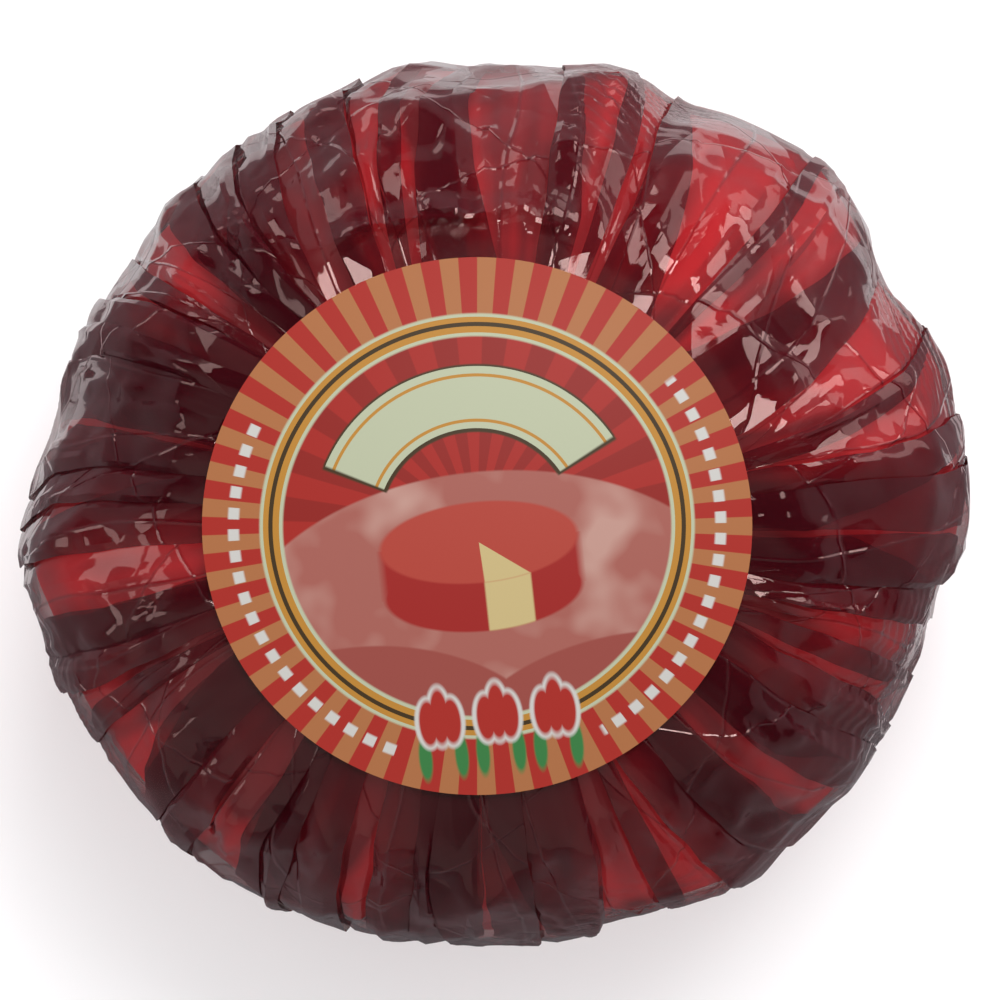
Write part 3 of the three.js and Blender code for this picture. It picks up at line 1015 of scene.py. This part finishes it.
def bands(tree, value, starts):
    """One colour for each range of value, from pairs of where it starts and its colour."""
    ramp = tree.nodes.new("ShaderNodeValToRGB")
    ramp.color_ramp.interpolation = "CONSTANT"
    tree.links.new(value, ramp.inputs["Fac"])
    elements = ramp.color_ramp.elements
    elements.remove(elements[1])
    elements[0].color = (*starts[0][1], 1)
    for start, colour in starts[1:]:
        elements.new(start).color = (*colour, 1)
    return ramp.outputs["Color"]


def both(tree, *masks):
    result = masks[0]
    for mask in masks[1:]:
        result = calculate(tree, "MULTIPLY", result, mask)
    return result


def either(tree, *masks):
    result = masks[0]
    for mask in masks[1:]:
        result = calculate(tree, "MAXIMUM", result, mask)
    return result


# %% [markdown]
# The label's design is a plain one of its own: rays round the rim with white bars, a ring, and inside it a
# striped field with a cream arch, a pink sky over low hills, a cheese with a slice cut out, and three
# tulips. It has few colours, and each is flat, as printed ink is.

# %% Label material
RAY_RED = (0.260, 0.016, 0.011)
RAY_TAN = (0.273, 0.102, 0.038)
STRIPE_RED = (0.248, 0.014, 0.010)
STRIPE_DARK = (0.186, 0.011, 0.008)
CREAM = (0.310, 0.329, 0.229)
GOLD = (0.322, 0.149, 0.022)
BROWN = (0.040, 0.024, 0.009)
PINK = (0.248, 0.077, 0.062)
PALE_PINK = (0.341, 0.192, 0.161)
DEEP_PINK = (0.211, 0.046, 0.037)
RIND = (0.223, 0.012, 0.010)
RIND_TOP = (0.285, 0.037, 0.025)
CUT_CHEESE = (0.372, 0.291, 0.136)
GREEN = (0.028, 0.136, 0.037)
WHITE = (0.384, 0.372, 0.353)
TULIP_SPACING = 0.21


def label_material():
    material, tree, shader = new_material("label_print", RAY_TAN, 0.45)
    shader.inputs["Specular IOR Level"].default_value = 0.15
    centred = centre_on(tree, map_place(tree, "print"), 0.5, 0.5, 0.5, 0.5)
    rotate = tree.nodes.new("ShaderNodeVectorRotate")
    rotate.rotation_type = "Z_AXIS"
    rotate.inputs["Angle"].default_value = -math.radians(LABEL_TURN)
    tree.links.new(centred, rotate.inputs["Vector"])
    place = rotate.outputs["Vector"]
    x, y, _ = parts_of(tree, place)
    angle = calculate(tree, "ARCTAN2", y, x)
    radius = vector_step(tree, "LENGTH", place, output="Value")

    def lay(mask, above):
        nonlocal colour
        colour = blend_colour(tree, mask, colour, above)

    # The border: rays, and two runs of white bars.
    colour = blend_colour(tree, waves_mask(tree, angle, 45, 8), RAY_RED, RAY_TAN)
    runs = either(tree, sector(tree, angle, 148, 245), sector(tree, angle, -65, 32))
    bars = both(tree, ring_shape(tree, radius, 0.865, 0.905), waves_mask(tree, angle, 70, 5, 1.1), runs)
    lay(bars, WHITE)

    # The field inside the ring: stripes above, and a pink sky with low hills below.
    field = ring_shape(tree, radius, -1, 0.72)
    stripes = blend_colour(tree, waves_mask(tree, angle, 24, 6), STRIPE_RED, STRIPE_DARK)
    lay(field, stripes)
    sky = both(tree, field, ellipse(tree, place, 0, -0.42, 0.95, 0.62))
    haze = calculate(tree, "MULTIPLY_ADD", noise(tree, place, 3.2, 2), 5, -2.4, clamp=True)
    lay(sky, blend_colour(tree, haze, PINK, PALE_PINK))
    left_hill = ellipse(tree, place, -0.5, -0.95, 0.75, 0.55)
    right_hill = ellipse(tree, place, 0.55, -1.0, 0.8, 0.55)
    lay(both(tree, field, either(tree, left_hill, right_hill)), DEEP_PINK)

    # A plain cream arch with a brown edge.
    arch_sides = sector(tree, angle, 28, 152)
    arch = ring_shape(tree, radius, 0.35, 0.60)
    lay(both(tree, arch, sector(tree, angle, 26.5, 153.5)), BROWN)
    inner_lines = [(0, BROWN), (0.36, CREAM), (0.385, GOLD), (0.397, CREAM)]
    outer_lines = [(0.553, GOLD), (0.565, CREAM), (0.59, BROWN)]
    lay(both(tree, arch, arch_sides), bands(tree, radius, inner_lines + outer_lines))

    # A cheese with a slice cut out of it.
    foot = ellipse(tree, place, 0, -0.24, 0.36, 0.15)
    side = either(tree, foot, box_shape(tree, place, 0, -0.15, 0.36, 0.09))
    lay(side, RIND)
    lay(both(tree, side, box_shape(tree, place, 0.09, -0.25, 0.085, 0.2)), CUT_CHEESE)
    top = ellipse(tree, place, 0, -0.06, 0.36, 0.15)
    lay(top, RIND_TOP)
    across, up, _ = parts_of(tree, centre_on(tree, place, 0, -0.06, 0.36, 0.15))
    top_angle = calculate(tree, "ARCTAN2", up, across)
    lay(both(tree, top, sector(tree, top_angle, -89, -61)), CUT_CHEESE)

    # The ring.
    ring_lines = [(0, CREAM), (0.718, GOLD), (0.74, BROWN), (0.757, GOLD), (0.777, CREAM)]
    lay(ring_shape(tree, radius, 0.705, 0.79), bands(tree, radius, ring_lines))

    # Three tulips side by side over the lower edge of the ring. One is drawn, and the place is repeated.
    repeated = calculate(tree, "WRAP", x, TULIP_SPACING / 2, -TULIP_SPACING / 2)
    tulip = tree.nodes.new("ShaderNodeCombineXYZ")
    tree.links.new(calculate(tree, "ABSOLUTE", repeated), tulip.inputs["X"])
    tree.links.new(y, tulip.inputs["Y"])
    tulip_place = tulip.outputs["Vector"]
    three = box_shape(tree, place, 0, -0.7, 1.5 * TULIP_SPACING, 0.3)

    def flower(wider):
        middle_petal = ellipse(tree, tulip_place, 0, -0.69, 0.034 + wider, 0.105 + wider)
        side_petal = ellipse(tree, tulip_place, 0.042, -0.71, 0.034 + wider, 0.085 + wider)
        return both(tree, three, either(tree, middle_petal, side_petal))

    lay(both(tree, three, ellipse(tree, tulip_place, 0.066, -0.84, 0.024, 0.085)), GREEN)
    lay(flower(0.016), WHITE)
    lay(flower(0), RAY_RED)
    tree.links.new(colour, shader.inputs["Base Color"])
    return material


label.data.materials.append(label_material())


# %% [markdown]
# The floor is plain and pale. It isn't part of the object. Glossy film mirrors it in every slanting facet,
# so for mirror rays its colour is painted darker: a painted pool of light on a patch round the ball, and
# painted shade beyond it, as on a small table in a dark studio.

# %% Floor
FLOOR_COLOUR = (0.88, 0.88, 0.89)
FLOOR_PAINTED_DARK_IN_MIRRORS = (0.13, 0.13, 0.14)
PAINTED_LIGHT_POOL_RADIUS = 0.104


def floor_material():
    material, tree, shader = new_material("pale_floor", FLOOR_COLOUR, 0.8)
    place = tree.nodes.new("ShaderNodeTexCoord").outputs["Object"]
    moved = vector_step(tree, "SUBTRACT", place, (0, 0.03, 0))
    distance = vector_step(tree, "LENGTH", moved, output="Value")
    # For mirror rays only, the colour is painted: half dark on the patch round the ball, a painted pool of
    # light, and fully dark beyond it, painted shade.
    outside = calculate(tree, "GREATER_THAN", distance, PAINTED_LIGHT_POOL_RADIUS)
    shade = calculate(tree, "MULTIPLY_ADD", outside, 0.5, 0.5)
    light_path = tree.nodes.new("ShaderNodeLightPath")
    mirrored = calculate(tree, "MULTIPLY", shade, light_path.outputs["Is Glossy Ray"])
    tree.links.new(blend_colour(tree, mirrored, FLOOR_COLOUR, FLOOR_PAINTED_DARK_IN_MIRRORS), shader.inputs["Base Color"])
    return material


bpy.ops.object.select_all(action="DESELECT")
bpy.ops.mesh.primitive_plane_add(size=6, location=(0, 0, -0.0003))
floor = bpy.context.object
floor.name = "floor"
floor.data.materials.append(floor_material())


# %% [markdown]
# The camera looks straight down at the label from far off, through a long lens.

# %% Camera
CAMERA_DISTANCE = 1.5
VIEW_WIDTH = 0.1592
EQUATOR_Z = 0.062

bpy.ops.object.camera_add(location=(0, 0, EQUATOR_Z + CAMERA_DISTANCE), rotation=(0, 0, 0))
camera = bpy.context.object
camera.data.lens = camera.data.sensor_width * CAMERA_DISTANCE / VIEW_WIDTH
bpy.context.scene.camera = camera


# %% [markdown]
# A big softbox stands low at the upper right, and weaker ones at the upper left and the left. Low lights
# are the ones that the ball's sloping sides mirror to a camera overhead, and two panels on the floor light
# its steep shoulder. One more softbox, high up, makes the soft shadow. The room is pale to the camera and
# to dull surfaces. To glossy ones it is dark, and a little brighter at the lower left, so that the film
# keeps its red.

# %% Lights
SKY_BRIGHT_SIDE = (-0.45, -0.8, 0.4)
SKY_BRIGHTNESS = 0.36
SKY_LEAST = 0.03
SKY_SOFT_LIGHT = 0.95


def softbox(name, turn, elevation, distance, width, height, power):
    """An area light that faces the origin from a turn and an elevation in degrees, sizes in metres."""
    a, e = math.radians(turn), math.radians(elevation)
    towards = (math.cos(a) * math.cos(e), math.sin(a) * math.cos(e), math.sin(e))
    bpy.ops.object.light_add(type="AREA", location=[distance * part for part in towards])
    light = bpy.context.object
    light.name = name
    light.data.shape = "RECTANGLE"
    light.data.size = width
    light.data.size_y = height
    light.data.energy = power
    light.rotation_euler = (math.pi / 2 - e, 0, a + math.pi / 2)
    light.visible_camera = False
    return light


def floor_panel(name, turn, distance, width, length, power):
    """A light that lies on the floor beside the ball and shines up."""
    light = softbox(name, turn, 0, distance, width, length, power)
    light.location.z = 0.004
    light.rotation_euler = (math.pi, 0, math.radians(turn) + math.pi / 2)
    return light


softbox("key_softbox", 42, 12, 0.9, 0.55, 0.32, 2.2)
softbox("upper_left_softbox", 112, 16, 0.9, 0.35, 0.3, 0.8)
softbox("left_softbox", 185, 18, 0.9, 0.4, 0.3, 0.65)
softbox("top_softbox", 70, 66, 1.6, 0.7, 0.7, 14)
floor_panel("right_floor_panel", 40, 0.45, 0.25, 0.4, 0.35)
floor_panel("upper_floor_panel", 105, 0.42, 0.12, 0.3, 0.17)

world = bpy.data.worlds.new("studio")
bpy.context.scene.world = world
world.use_nodes = True
studio = world.node_tree
background = studio.nodes["Background"]
background.inputs["Color"].default_value = (1, 1, 1, 1)
way = studio.nodes.new("ShaderNodeTexCoord").outputs["Generated"]
bright_side = vector_step(studio, "DOT_PRODUCT", way, SKY_BRIGHT_SIDE, output="Value")
bright_side = calculate(studio, "MAXIMUM", bright_side, 0)
mirrored_sky = calculate(studio, "MULTIPLY_ADD", bright_side, SKY_BRIGHTNESS, SKY_LEAST)
seen = studio.nodes.new("ShaderNodeLightPath")
soft_light = seen.outputs["Is Diffuse Ray"]
strength = calculate(studio, "MULTIPLY_ADD", soft_light, SKY_SOFT_LIGHT, mirrored_sky)
strength = calculate(studio, "MAXIMUM", strength, seen.outputs["Is Camera Ray"])
studio.links.new(strength, background.inputs["Strength"])
bpy.context.scene.view_settings.view_transform = "Standard"
